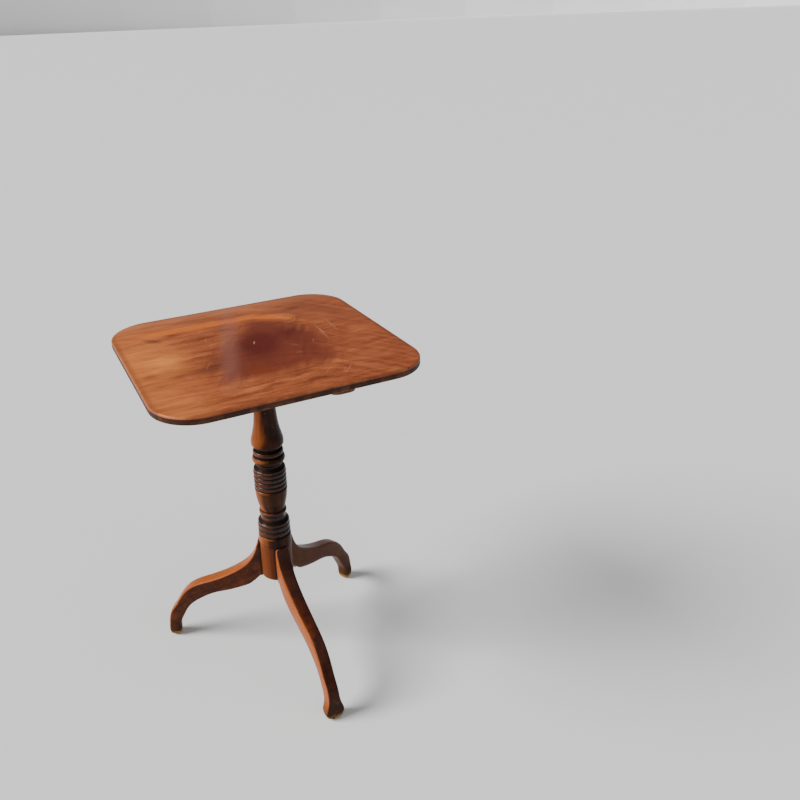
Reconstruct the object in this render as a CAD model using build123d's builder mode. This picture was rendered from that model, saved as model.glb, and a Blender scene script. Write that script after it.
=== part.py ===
from build123d import *

import os
from math import atan2, cos, radians, sin, tan

# Tilt top tripod table, in millimetres.
# X runs along the long side of the top, Y from the front to the back and Z up.
# The origin is on the floor, under the middle of the table's bounding box, so the pillar's
# axis stands a little behind it: the front foot reaches further out than the top does.

# ---------------------------------------------------------------- driving sizes

# the top
table_height = 710.0
top_width = 485.0
top_depth = 457.0
top_thickness = 14.0
top_corner_radius = 80.0
top_upper_arris = 3.0
top_lower_arris = 1.5

# the legs
# pillar axis to the outermost point of each foot; the legs were set by eye
foot_reaches = {"leg_front": 264.0, "leg_left": 258.0, "leg_right": 260.0}
leg_angles = {"leg_front": 272.0, "leg_left": 150.0, "leg_right": 30.0}
foot_widths = {"leg_front": 41.0, "leg_left": 29.0, "leg_right": 30.0}
leg_top_z = 268.0
leg_ledge = 4.0               # level step where the leg's upper curve meets the pillar
leg_width = 30.0
ankle_width = 25.0
ankle_z = 50.0
foot_thickness = 25.0
foot_widest_z = 22.0
foot_heel_radius = 9.0
foot_corner_share = 0.32      # of the foot's width, rounded away at each side of the sole

# the leg's dovetail, slid up into the pillar from below
dovetail_depth = 14.0
dovetail_neck = 12.0
dovetail_tail = 17.0
dovetail_top_z = 250.0

# the pillar
base_bottom_z = 184.0
base_chamfer = 4.0
base_radius = 34.0
neck_radius = 24.5
ring_radius = 33.3
pillar_collar_radius = 32.0
pillar_collar_height = 9.0
pillar_waist_radius = 20.0
vase_lip_z = 507.0
tenon_radius = 14.0

# the block, with a pintle on each side, and the bearers that turn on the pintles
block_width = 108.0
block_depth = 112.0
block_thickness = 26.0
pintle_radius = 6.5
pintle_length = 22.0
pintle_drop = 12.0            # from the top's underside down to the pintle axis
bearer_width = 46.0
bearer_thickness = 24.0
bearer_length = 413.0
bearer_tip_thickness = 16.0
bearer_tip_length = 60.0
bearer_tip_radius = 16.0
bearer_arris = 2.5
bearer_shift = {"bearer_left": 10.0, "bearer_right": 0.0}   # how far back each one was set
bearer_screw_spread = 130.0
bearer_screw_middle = -30.0

# the wedge in the tenon
wedge_head = 3.2
wedge_tip = 0.8
wedge_depth = 18.0

# the iron plate nailed across the joints under the pillar
spider_thickness = 2.0
spider_hub_radius = 21.0
spider_arm_width = 14.0
spider_arm_reach = 53.0
spider_leg_screw_reach = 45.0
spider_hub_screw_reach = 13.0
underside_run = 22.0          # the straight stretch of the leg's underside, level
underside_fall = 24.0         # and how far it falls

# the brass catch under the top
catch_plate_thickness = 1.6
catch_plate_width = 38.0
catch_plate_length = 70.0
catch_wall = 1.5
catch_case_length = 56.0
catch_case_setback = 8.5      # from the front of the plate to the mouth of the case
bolt_width = 15.0
bolt_tongue_height = 7.0
bolt_tongue_length = 19.5
bolt_body_length = 26.0
bolt_top_drop = 9.0           # from the top's underside to the top of the tongue
bolt_standoff = 2.5           # the drawn bolt's nose to the block
bolt_throw = 9.5
knob_stem_radius = 2.4
knob_stem_grip = 4.5
knob_radius = 6.0
knob_height = 9.0
knob_neck = 3.0
spring_wire = 0.9
spring_radius = 3.6
spring_turns = 6.0
strike_width = 38.0
strike_height = 18.0
strike_thickness = 1.5
strike_mortise_depth = 10.0

# wood screws: head radius, shank radius, length
bearer_screw = (4.2, 2.1, 32.0)
spider_screw = (3.6, 1.8, 16.0)
catch_screw = (3.2, 1.6, 11.0)
strike_screw = (2.8, 1.4, 12.0)
screw_head_angle = 82.0
screw_point = 4.0
screw_slot_width = 0.9
screw_slot_depth = 0.8

# clearances
seat_gap = 0.3                # the block to the turning top
side_gap = 0.4                # the block's sides to the bearers
running_fit = 0.06            # pintle in its bearer, on the radius
snug_fit = 0.05               # glued and screwed joints
bolt_fit = 0.5                # the bolt in its case
strike_fit = 0.8              # the bolt's nose in the strike

# ---------------------------------------------------------------- places worked out from them

axis_y = (foot_reaches["leg_front"] - top_depth / 2) / 2
pillar_foot = Vector(0, axis_y, 0)
underside_z = table_height - top_thickness
block_top_z = underside_z - seat_gap
block_bottom_z = block_top_z - block_thickness
pintle_z = underside_z - pintle_drop
pintle_y = axis_y + block_depth / 2 - (pintle_drop - seat_gap)
block_front_y = axis_y - block_depth / 2
bearer_x = {
    "bearer_left": -(block_width / 2 + side_gap + bearer_width / 2),
    "bearer_right": block_width / 2 + side_gap + bearer_width / 2,
}
underside_slope = atan2(underside_fall, underside_run)
vase_height = block_bottom_z - pillar_collar_height - 2 - vase_lip_z
waist_top_z = vase_lip_z + 0.88 * vase_height
tenon_top_z = block_top_z - 0.5
tongue_top_z = underside_z - bolt_top_drop
tongue_bottom_z = tongue_top_z - bolt_tongue_height
tongue_middle_z = (tongue_top_z + tongue_bottom_z) / 2
nose_y = block_front_y - bolt_standoff
body_front_y = nose_y - bolt_tongue_length
body_back_y = body_front_y - bolt_body_length
stem_y = (body_front_y + body_back_y) / 2
plate_front_y = block_front_y - 1.5
case_mouth_y = plate_front_y - catch_case_setback
case_back_y = case_mouth_y - catch_case_length
plate_under_z = underside_z - catch_plate_thickness
case_floor_z = tongue_bottom_z - bolt_fit

CENTRE = (Align.CENTER, Align.CENTER, Align.CENTER)
FROM_FACE = (Align.CENTER, Align.CENTER, Align.MIN)


def side_plane(angle):
    """Upright plane through the pillar's axis: local x runs outwards, local y up."""
    a = radians(angle)
    return Plane(origin=pillar_foot, x_dir=(cos(a), sin(a), 0), z_dir=(sin(a), -cos(a), 0))


def plan_plane(angle, height):
    """Level plane: local x runs outwards along the leg, local y across it."""
    a = radians(angle)
    return Plane(origin=(0, axis_y, height), x_dir=(cos(a), sin(a), 0), z_dir=(0, 0, 1))


def across_plane(angle):
    """Upright plane square to the leg: local x runs across it, local y up."""
    a = radians(angle)
    return Plane(origin=pillar_foot, x_dir=(-sin(a), cos(a), 0), z_dir=(cos(a), sin(a), 0))


def on_side(angle, reach, height):
    """A point in the leg's middle plane."""
    a = radians(angle)
    return Vector(reach * cos(a), axis_y + reach * sin(a), height)


def driving_planes(points, direction):
    """Planes at the heads of a row of screws, with z pointing into the wood."""
    return [Plane(origin=p, z_dir=direction) for p in points]


def head_depth(screw):
    return (screw[0] - screw[1]) / tan(radians(screw_head_angle / 2))


def wood_screws(planes, screw):
    """Slotted countersunk screws, one for each plane."""
    head, shank, length = screw
    with BuildPart() as screws:
        with Locations(*planes):
            Cone(head, shank, head_depth(screw), align=FROM_FACE)
            Cylinder(shank, length - screw_point, align=FROM_FACE)
        with Locations(*[p.offset(length - screw_point) for p in planes]):
            Cone(shank, shank / 5, screw_point, align=FROM_FACE)
        with Locations(*planes):
            Box(2 * head, screw_slot_width, 2 * screw_slot_depth, align=CENTRE, mode=Mode.SUBTRACT)
    return screws.part


def bore_for_screws(planes, screw):
    """Cuts a screw's seat and its hole out of the piece that is being made."""
    head, shank, length = screw
    with Locations(*planes):
        Cone(head + snug_fit, shank + snug_fit, head_depth(screw), align=FROM_FACE, mode=Mode.SUBTRACT)
        Cylinder(shank + snug_fit, length + snug_fit, align=FROM_FACE, mode=Mode.SUBTRACT)


def bead(low, high, root, crown):
    """A half-round ring of the turning, from one groove to the next."""
    ThreePointArc((root, low), (crown, (low + high) / 2), (root, high))


def put(solid, name):
    """Labels a finished piece and writes it."""
    solid.label = name
    export_step(solid, f"parts/{name}.step")


os.makedirs("parts", exist_ok=True)

# ---------------------------------------------------------------- screw places

bearer_screw_points = {
    name: [
        (x, axis_y + bearer_shift[name] + y, underside_z - bearer_thickness)
        for y in (-bearer_screw_spread, bearer_screw_middle, bearer_screw_spread)
    ]
    for name, x in bearer_x.items()
}
bearer_screw_planes = {
    name: driving_planes(points, (0, 0, 1)) for name, points in bearer_screw_points.items()
}
catch_screw_planes = driving_planes(
    [
        (x, y, plate_under_z)
        for x in (-catch_plate_width / 2 + 4.7, catch_plate_width / 2 - 4.7)
        for y in (plate_front_y - 5, plate_front_y - catch_plate_length + 5)
    ],
    (0, 0, 1),
)
strike_screw_planes = driving_planes(
    [(x, block_front_y, tongue_middle_z) for x in (-strike_width / 2 + 4.6, strike_width / 2 - 4.6)],
    (0, 1, 0),
)


def underside_z_at(reach):
    """Height of the leg's straight underside stretch at a distance from the axis."""
    return base_bottom_z - (reach - base_radius) * underside_fall / underside_run


def leg_screw_plane(angle):
    """Plane at the head of the screw that holds one arm of the iron plate to its leg."""
    a = radians(angle)
    inward = (sin(underside_slope) * cos(a), sin(underside_slope) * sin(a), cos(underside_slope))
    seat = on_side(angle, spider_leg_screw_reach, underside_z_at(spider_leg_screw_reach))
    return Plane(origin=seat - spider_thickness * Vector(*inward), z_dir=inward)


hub_screw_planes = driving_planes(
    [
        on_side(angle + 60, spider_hub_screw_reach, base_bottom_z - spider_thickness)
        for angle in leg_angles.values()
    ],
    (0, 0, 1),
)
leg_screw_planes = {name: leg_screw_plane(angle) for name, angle in leg_angles.items()}

# ---------------------------------------------------------------- pillar

with BuildPart() as pillar:
    with BuildSketch(Plane(origin=pillar_foot, x_dir=(1, 0, 0), z_dir=(0, -1, 0))):
        with BuildLine():
            Polyline(
                (0, base_bottom_z),
                (base_radius - base_chamfer, base_bottom_z),
                (base_radius, base_bottom_z + base_chamfer),
                (base_radius, 288),
                (base_radius - 1, 290),
                (31, 291.5),
            )
            # two reeds and a fillet over the base
            bead(291.5, 304.5, 31, ring_radius + 0.4)
            bead(304.5, 318.0, 31, ring_radius + 0.2)
            Polyline((31, 318), (32.2, 318.6), (32.2, 322.5), (31, 323.5))
            # cove up to the single bead
            Spline((31, 323.5), (26.2, 329.5), (neck_radius, 336), (25.5, 341), tangents=((-0.7, 1), (0.5, 1)))
            bead(341, 350.5, 25.5, 28.4)
            # plain barrel
            Spline((25.5, 350.5), (27.6, 362), (31.2, 381), (32.3, 396), tangents=((0.1, 1), (0, 1)))
            # four reeds and two fillets round its head
            Polyline((32.3, 396), (33, 396.8), (33, 402), (30.8, 403.4))
            for groove in (403.4, 413.6, 423.8, 434.0):
                bead(groove, groove + 10.2, 30.8, ring_radius)
            Polyline((30.8, 444.2), (31.8, 444.8), (31.8, 448.2), (30.6, 449.4))
            # cove, the double bead and the neck over it
            Spline((30.6, 449.4), (25.8, 454.5), (neck_radius + 0.3, 458.5), (26.5, 461.5), tangents=((-0.8, 1), (1, 1)))
            bead(461.5, 479.5, 26.5, 32.9)
            Line((26.5, 479.5), (28.2, 480.3))
            bead(480.3, 490.5, 28.2, 30.6)
            Line((28.2, 490.5), (neck_radius, 491.2))
            Line((neck_radius, 491.2), (neck_radius, 497.5))
            # the vase: a rounded lip that draws in to a slender waist
            ThreePointArc((neck_radius, 497.5), (30.4, 500.3), (32.4, vase_lip_z))
            Spline(
                (32.4, vase_lip_z),
                (29.6, vase_lip_z + 0.106 * vase_height),
                (25.3, vase_lip_z + 0.225 * vase_height),
                (22.9, vase_lip_z + 0.351 * vase_height),
                (pillar_waist_radius, vase_lip_z + 0.682 * vase_height),
                (pillar_waist_radius, waist_top_z),
                tangents=((0, 1), (0, 1)),
            )
            # cove and collar under the block
            Spline(
                (pillar_waist_radius, waist_top_z),
                (pillar_collar_radius - 2, block_bottom_z - pillar_collar_height - 2),
                tangents=((0, 1), (1, 0.25)),
            )
            Line(
                (pillar_collar_radius - 2, block_bottom_z - pillar_collar_height - 2),
                (pillar_collar_radius - 2, block_bottom_z - pillar_collar_height),
            )
            bead(
                block_bottom_z - pillar_collar_height, block_bottom_z,
                pillar_collar_radius - 2, pillar_collar_radius,
            )
            Polyline(
                (pillar_collar_radius - 2, block_bottom_z),
                (tenon_radius, block_bottom_z),
                (tenon_radius, tenon_top_z),
                (0, tenon_top_z),
                (0, base_bottom_z),
            )
        make_face()
    revolve(axis=Axis(pillar_foot, (0, 0, 1)))
    # dovetail sockets, open at the bottom
    for angle in leg_angles.values():
        with BuildSketch(plan_plane(angle, base_bottom_z)):
            with BuildLine():
                Polyline(
                    (base_radius + 1, dovetail_neck / 2 + snug_fit),
                    (base_radius, dovetail_neck / 2 + snug_fit),
                    (base_radius - dovetail_depth - snug_fit, dovetail_tail / 2 + snug_fit),
                    (base_radius - dovetail_depth - snug_fit, -dovetail_tail / 2 - snug_fit),
                    (base_radius, -dovetail_neck / 2 - snug_fit),
                    (base_radius + 1, -dovetail_neck / 2 - snug_fit),
                    close=True,
                )
            make_face()
        extrude(amount=dovetail_top_z - base_bottom_z + snug_fit, mode=Mode.SUBTRACT)
    # the kerf that the wedge spreads
    with BuildSketch(Plane(origin=(0, axis_y, tenon_top_z), x_dir=(1, 0, 0), z_dir=(0, -1, 0))):
        with BuildLine():
            Polyline(
                (-wedge_head / 2 - snug_fit, 0),
                (wedge_head / 2 + snug_fit, 0),
                (wedge_tip / 2 + snug_fit, -wedge_depth - snug_fit),
                (-wedge_tip / 2 - snug_fit, -wedge_depth - snug_fit),
                close=True,
            )
        make_face()
    extrude(amount=tenon_radius, both=True, mode=Mode.SUBTRACT)
    bore_for_screws(hub_screw_planes, spider_screw)
put(pillar.part, "pillar")

with BuildPart() as tenon_wedge:
    with BuildSketch(Plane(origin=(0, axis_y, tenon_top_z), x_dir=(1, 0, 0), z_dir=(0, -1, 0))):
        with BuildLine():
            Polyline(
                (-wedge_head / 2, 0),
                (wedge_head / 2, 0),
                (wedge_tip / 2, -wedge_depth),
                (-wedge_tip / 2, -wedge_depth),
                close=True,
            )
        make_face()
    extrude(amount=tenon_radius - 1, both=True)
put(tenon_wedge.part, "tenon_wedge")

# ---------------------------------------------------------------- legs


def build_leg(name):
    """One leg: an S-curved board, thinned towards the ankle, with its dovetail on the end."""
    angle = leg_angles[name]
    foot_width = foot_widths[name]
    foot_reach = foot_reaches[name]
    blank_width = max(foot_width, leg_width)
    inner = base_radius - 6
    foot_inner = foot_reach - foot_thickness
    run_end = base_radius + underside_run
    run_end_z = base_bottom_z - underside_fall
    span = foot_reach - base_radius
    drop = leg_top_z - foot_widest_z
    hollow_span = foot_inner - run_end
    hollow_drop = run_end_z - foot_widest_z
    with BuildPart() as leg:
        with BuildSketch(side_plane(angle).offset(-blank_width / 2)) as board:
            with BuildLine():
                Polyline((inner, base_bottom_z), (inner, leg_top_z), (base_radius + leg_ledge, leg_top_z))
                # upper curve, hollow at the pillar and full over the knee
                Spline(
                    (base_radius + leg_ledge, leg_top_z),
                    (base_radius + 0.113 * span, leg_top_z - 0.200 * drop),
                    (base_radius + 0.267 * span, leg_top_z - 0.316 * drop),
                    (base_radius + 0.523 * span, leg_top_z - 0.432 * drop),
                    (base_radius + 0.785 * span, leg_top_z - 0.561 * drop),
                    (base_radius + 0.941 * span, leg_top_z - 0.793 * drop),
                    (foot_reach, foot_widest_z),
                    tangents=((0.2, -1), (0.12, -1)),
                )
                Polyline((foot_reach, foot_widest_z), (foot_reach, 0), (foot_inner, 0), (foot_inner, foot_widest_z))
                # lower curve, back up to the straight stretch that the iron plate lies on
                Spline(
                    (foot_inner, foot_widest_z),
                    (foot_inner - 0.074 * hollow_span, foot_widest_z + 0.254 * hollow_drop),
                    (foot_inner - 0.166 * hollow_span, foot_widest_z + 0.470 * hollow_drop),
                    (foot_inner - 0.330 * hollow_span, foot_widest_z + 0.643 * hollow_drop),
                    (foot_inner - 0.535 * hollow_span, foot_widest_z + 0.783 * hollow_drop),
                    (foot_inner - 0.740 * hollow_span, foot_widest_z + 0.853 * hollow_drop),
                    (foot_inner - 0.889 * hollow_span, foot_widest_z + 0.927 * hollow_drop),
                    (run_end, run_end_z),
                    tangents=((-0.08, 1), (-underside_run, underside_fall)),
                )
                Polyline((run_end, run_end_z), (base_radius, base_bottom_z), (inner, base_bottom_z))
            make_face()
            fillet(board.vertices().group_by(Axis.Y)[0], foot_heel_radius)
        extrude(amount=blank_width)
        # thin the blank in plan, from the knee to the ankle
        with BuildSketch(plan_plane(angle, ankle_z)):
            with BuildLine():
                Polyline(
                    (0, leg_width / 2),
                    (base_radius + 0.42 * span, leg_width / 2),
                    (base_radius + 0.84 * span, ankle_width / 2),
                    (foot_reach + 1, ankle_width / 2),
                    (foot_reach + 1, blank_width),
                    (0, blank_width),
                    close=True,
                )
            make_face()
            mirror(about=Plane.XZ)
        extrude(amount=leg_top_z, mode=Mode.SUBTRACT)
        # shape the foot from the front: a flare under the ankle and rounded corners
        with BuildSketch(across_plane(angle)):
            with BuildLine():
                Spline(
                    (ankle_width / 2, ankle_z),
                    (foot_width / 2, foot_widest_z),
                    tangents=((0, -1), (0.25, -1)),
                )
                Spline(
                    (foot_width / 2, foot_widest_z),
                    (foot_width * (0.5 - foot_corner_share), 0),
                    tangents=((0, -1), (-1, -0.25)),
                )
                Polyline(
                    (foot_width * (0.5 - foot_corner_share), 0),
                    (blank_width, 0),
                    (blank_width, ankle_z),
                    (ankle_width / 2, ankle_z),
                )
            make_face()
            mirror(about=Plane.YZ)
        extrude(amount=foot_reach + 1, mode=Mode.SUBTRACT)
        # cope the shoulder to the round of the pillar
        with BuildSketch(plan_plane(angle, 0)):
            Circle(base_radius + snug_fit)
        extrude(amount=table_height, mode=Mode.SUBTRACT)
        # the dovetail
        with BuildSketch(plan_plane(angle, base_bottom_z)):
            with BuildLine():
                Polyline(
                    (base_radius + 1, dovetail_neck / 2),
                    (base_radius, dovetail_neck / 2),
                    (base_radius - dovetail_depth, dovetail_tail / 2),
                    (base_radius - dovetail_depth, -dovetail_tail / 2),
                    (base_radius, -dovetail_neck / 2),
                    (base_radius + 1, -dovetail_neck / 2),
                    close=True,
                )
            make_face()
        extrude(amount=dovetail_top_z - base_bottom_z)
        bore_for_screws([leg_screw_planes[name]], spider_screw)
    return leg.part


for leg_name in leg_angles:
    put(build_leg(leg_name), leg_name)

# ---------------------------------------------------------------- iron plate under the pillar

with BuildPart() as spider_plate:
    with BuildSketch(Plane.XY.offset(base_bottom_z - spider_thickness)):
        with Locations((0, axis_y)):
            Circle(spider_hub_radius)
    extrude(amount=spider_thickness)
    for angle in leg_angles.values():
        bend = base_radius - spider_thickness * tan(underside_slope / 2)
        tip_x = spider_arm_reach - spider_thickness * sin(underside_slope)
        tip_z = underside_z_at(spider_arm_reach) - spider_thickness * cos(underside_slope)
        with BuildSketch(side_plane(angle)):
            with BuildLine():
                Polyline(
                    (spider_hub_radius / 2, base_bottom_z),
                    (base_radius, base_bottom_z),
                    (spider_arm_reach, underside_z_at(spider_arm_reach)),
                    (tip_x, tip_z),
                    (bend, base_bottom_z - spider_thickness),
                    (spider_hub_radius / 2, base_bottom_z - spider_thickness),
                    close=True,
                )
            make_face()
        extrude(amount=spider_arm_width / 2, both=True)
    bore_for_screws(hub_screw_planes + list(leg_screw_planes.values()), spider_screw)
put(spider_plate.part, "spider_plate")

put(wood_screws(hub_screw_planes + list(leg_screw_planes.values()), spider_screw), "spider_plate_screws")

# ---------------------------------------------------------------- block and strike

with BuildPart() as top_block:
    with BuildSketch(Plane(origin=(0, 0, 0), x_dir=(0, 1, 0), z_dir=(1, 0, 0))):
        # the back of the block is rounded about the pintles, so that the top can pass it
        block_back_y = axis_y + block_depth / 2
        round_radius = pintle_drop - seat_gap
        with BuildLine():
            Polyline(
                (pintle_y, block_top_z),
                (block_front_y, block_top_z),
                (block_front_y, block_bottom_z),
                (block_back_y, block_bottom_z),
                (block_back_y, pintle_z),
            )
            ThreePointArc(
                (block_back_y, pintle_z),
                (pintle_y + round_radius * cos(radians(45)), pintle_z + round_radius * sin(radians(45))),
                (pintle_y, block_top_z),
            )
        make_face()
    extrude(amount=block_width / 2, both=True)
    chamfer(top_block.edges().group_by(Axis.Z)[0], 3)
    # the pintles are worked on the block itself
    with Locations(Location((0, pintle_y, pintle_z), (0, 90, 0))):
        Cylinder(pintle_radius, block_width + 2 * pintle_length)
    chamfer(top_block.edges().filter_by(GeomType.CIRCLE).group_by(Axis.X)[0], 1)
    chamfer(top_block.edges().filter_by(GeomType.CIRCLE).group_by(Axis.X)[-1], 1)
    with Locations((0, axis_y, block_bottom_z)):
        Cylinder(tenon_radius + snug_fit, block_thickness, align=FROM_FACE, mode=Mode.SUBTRACT)
    with Locations((0, block_front_y, tongue_middle_z)):
        Box(
            strike_width + 2 * snug_fit, 2 * (strike_thickness + snug_fit), strike_height + 2 * snug_fit,
            mode=Mode.SUBTRACT,
        )
        Box(
            bolt_width + 2 * strike_fit, 2 * strike_mortise_depth, bolt_tongue_height + 2 * strike_fit,
            mode=Mode.SUBTRACT,
        )
    bore_for_screws(strike_screw_planes, strike_screw)
put(top_block.part, "top_block")

with BuildPart() as strike_plate:
    with BuildSketch(Plane(origin=(0, block_front_y, tongue_middle_z), x_dir=(1, 0, 0), z_dir=(0, -1, 0))):
        RectangleRounded(strike_width, strike_height, 1)
        Rectangle(bolt_width + 2 * strike_fit, bolt_tongue_height + 2 * strike_fit, mode=Mode.SUBTRACT)
    extrude(amount=-strike_thickness)
    bore_for_screws(strike_screw_planes, strike_screw)
put(strike_plate.part, "strike_plate")

put(wood_screws(strike_screw_planes, strike_screw), "strike_screws")

# ---------------------------------------------------------------- top and bearers

with BuildPart() as table_top:
    with BuildSketch(Plane(origin=(0, axis_y, underside_z))):
        RectangleRounded(top_width, top_depth, top_corner_radius)
    extrude(amount=top_thickness)
    fillet(table_top.faces().sort_by(Axis.Z)[-1].edges(), top_upper_arris)
    fillet(table_top.faces().sort_by(Axis.Z)[0].edges(), top_lower_arris)
    for planes in bearer_screw_planes.values():
        bore_for_screws(planes, bearer_screw)
    bore_for_screws(catch_screw_planes, catch_screw)
put(table_top.part, "table_top")


def build_bearer(name):
    """A batten along Y, thinned at both ends, with a blind hole for the block's pintle."""
    x = bearer_x[name]
    middle_y = axis_y + bearer_shift[name]
    half = bearer_length / 2
    bottom_z = underside_z - bearer_thickness
    tip_z = underside_z - bearer_tip_thickness
    block_side_x = block_width / 2 * (1 if x > 0 else -1)
    with BuildPart() as bearer:
        with BuildSketch(Plane(origin=(x, middle_y, 0), x_dir=(0, 1, 0), z_dir=(1, 0, 0))):
            with BuildLine():
                Polyline(
                    (half - bearer_tip_length, bottom_z),
                    (-half + bearer_tip_length, bottom_z),
                    (-half, tip_z),
                    (-half, underside_z),
                    (half, underside_z),
                    (half, tip_z),
                    close=True,
                )
            make_face()
        extrude(amount=bearer_width / 2, both=True)
        fillet(bearer.edges().filter_by(Axis.Z), bearer_tip_radius)
        chamfer(bearer.faces().sort_by(Axis.Z)[0].edges().filter_by(Axis.Y), bearer_arris)
        with Locations(Location((block_side_x, pintle_y, pintle_z), (0, 90, 0))):
            Cylinder(pintle_radius + running_fit, 2 * (pintle_length + 1), mode=Mode.SUBTRACT)
        bore_for_screws(bearer_screw_planes[name], bearer_screw)
    return bearer.part


for bearer_name in bearer_x:
    put(build_bearer(bearer_name), bearer_name)

every_bearer_plane = [plane for planes in bearer_screw_planes.values() for plane in planes]
put(wood_screws(every_bearer_plane, bearer_screw), "bearer_screws")

# ---------------------------------------------------------------- brass catch

with BuildPart() as catch_plate:
    with BuildSketch(Plane(origin=(0, plate_front_y - catch_plate_length / 2, plate_under_z))):
        RectangleRounded(catch_plate_width, catch_plate_length, 4)
    extrude(amount=catch_plate_thickness)
    bore_for_screws(catch_screw_planes, catch_screw)
put(catch_plate.part, "catch_plate")

put(wood_screws(catch_screw_planes, catch_screw), "catch_screws")

with BuildPart() as catch_case:
    case_middle_y = (case_mouth_y + case_back_y) / 2
    with BuildSketch(Plane(origin=(0, case_middle_y, case_floor_z - catch_wall))):
        Rectangle(bolt_width + 2 * bolt_fit + 2 * catch_wall, catch_case_length)
    extrude(until=Until.NEXT, target=catch_plate.part, mode=Mode.ADD)
    fillet(catch_case.edges().filter_by(Axis.Y).group_by(Axis.Z)[0], 1)
    # hollow, open at the plate and at the mouth
    with BuildSketch(Plane(origin=(0, case_middle_y + catch_wall, case_floor_z))):
        Rectangle(bolt_width + 2 * bolt_fit, catch_case_length)
    extrude(amount=plate_under_z - case_floor_z, mode=Mode.SUBTRACT)
    # slot for the knob's stem
    with BuildSketch(Plane(origin=(0, stem_y + bolt_throw / 2, case_floor_z - catch_wall))):
        SlotCenterToCenter(bolt_throw, 2 * (knob_stem_radius + bolt_fit), rotation=90)
    extrude(amount=catch_wall, mode=Mode.SUBTRACT)
put(catch_case.part, "catch_case")

with BuildPart() as catch_bolt:
    body_height = plate_under_z - case_floor_z - 2 * bolt_fit
    with Locations((0, body_back_y, case_floor_z + bolt_fit)):
        Box(bolt_width, bolt_body_length, body_height, align=(Align.CENTER, Align.MIN, Align.MIN))
    with Locations((0, body_front_y, tongue_bottom_z)):
        Box(bolt_width, bolt_tongue_length, bolt_tongue_height, align=(Align.CENTER, Align.MIN, Align.MIN))
    # the nose is bevelled below, so that the catch snaps home by itself
    nose_edge = catch_bolt.edges().filter_by(Axis.X).group_by(Axis.Y)[-1].sort_by(Axis.Z)[0]
    chamfer(nose_edge, bolt_tongue_height * 0.55)
    with Locations((0, stem_y, case_floor_z + bolt_fit)):
        Cylinder(knob_stem_radius + snug_fit, knob_stem_grip + snug_fit, align=FROM_FACE, mode=Mode.SUBTRACT)
put(catch_bolt.part, "catch_bolt")

with BuildPart() as catch_knob:
    knob_top_z = case_floor_z - catch_wall - knob_neck
    with BuildSketch(Plane(origin=(0, stem_y, 0), x_dir=(1, 0, 0), z_dir=(0, -1, 0))):
        with BuildLine():
            Polyline(
                (0, case_floor_z + bolt_fit + knob_stem_grip),
                (knob_stem_radius, case_floor_z + bolt_fit + knob_stem_grip),
                (knob_stem_radius, knob_top_z),
            )
            # a flattened ball on a thin neck
            Spline(
                (knob_stem_radius, knob_top_z),
                (knob_radius, knob_top_z - knob_height / 2),
                (0, knob_top_z - knob_height),
                tangents=((1, -0.6), (-1, 0)),
            )
            Line((0, knob_top_z - knob_height), (0, case_floor_z + bolt_fit + knob_stem_grip))
        make_face()
    revolve(axis=Axis((0, stem_y, 0), (0, 0, 1)))
put(catch_knob.part, "catch_knob")

with BuildPart() as catch_spring:
    spring_room = body_back_y - (case_back_y + catch_wall) - 2 * snug_fit
    coil_length = spring_room - 2 * spring_wire
    coil_start = Vector(0, body_back_y - snug_fit - spring_wire, (plate_under_z + case_floor_z) / 2)
    with BuildLine() as coil:
        Helix(
            pitch=coil_length / spring_turns, height=coil_length, radius=spring_radius,
            center=coil_start, direction=(0, -1, 0),
        )
    with BuildSketch(Plane(origin=coil.line @ 0, z_dir=coil.line % 0)):
        Circle(spring_wire / 2)
    sweep(path=coil.line)
put(catch_spring.part, "catch_spring")
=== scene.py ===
import math

import bmesh
import bpy
import numpy as np
from mathutils import Matrix, Vector
from mathutils.bvhtree import BVHTree


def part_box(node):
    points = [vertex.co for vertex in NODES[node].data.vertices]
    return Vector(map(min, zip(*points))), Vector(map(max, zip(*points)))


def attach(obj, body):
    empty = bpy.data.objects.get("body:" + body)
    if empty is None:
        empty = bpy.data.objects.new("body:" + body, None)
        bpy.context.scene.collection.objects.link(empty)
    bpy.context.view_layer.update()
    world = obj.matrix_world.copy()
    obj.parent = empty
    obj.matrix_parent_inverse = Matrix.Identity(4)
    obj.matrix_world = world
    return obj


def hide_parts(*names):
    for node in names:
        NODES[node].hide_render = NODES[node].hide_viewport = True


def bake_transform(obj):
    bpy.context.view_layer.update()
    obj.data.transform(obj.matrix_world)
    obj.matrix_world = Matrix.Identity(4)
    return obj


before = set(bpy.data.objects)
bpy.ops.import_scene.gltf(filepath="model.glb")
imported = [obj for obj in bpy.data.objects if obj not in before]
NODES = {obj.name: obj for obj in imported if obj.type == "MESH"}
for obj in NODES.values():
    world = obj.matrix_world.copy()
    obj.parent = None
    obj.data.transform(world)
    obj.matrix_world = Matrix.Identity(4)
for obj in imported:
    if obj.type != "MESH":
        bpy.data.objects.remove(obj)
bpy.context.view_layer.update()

MM = 0.001
STAND = "stand"
TOP = "tilting_top"
BOLT = "bolt"

# places that the whole table is set out from
pillar_low, pillar_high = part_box("pillar")
top_low, top_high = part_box("table_top")
AXIS = Vector(((pillar_low.x + pillar_high.x) / 2, (pillar_low.y + pillar_high.y) / 2, 0))
# the way to the key light; wood faces that turn towards it are painted lighter, as painted light
KEY_LIGHT_SIDE = (-0.78, 0.20, 0.60)
WELD = 0.002 * MM
CORNER_RADIUS = 80 * MM
LEG_NODES = ("leg_front", "leg_left", "leg_right")
LEG_HALF_WIDTH = 15.5
BASE_TOP = 272
TOP_MIDDLE = Vector(((top_low.x + top_high.x) / 2, (top_low.y + top_high.y) / 2, top_high.z))


# ---------------------------------------------------------------- shader maths


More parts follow.
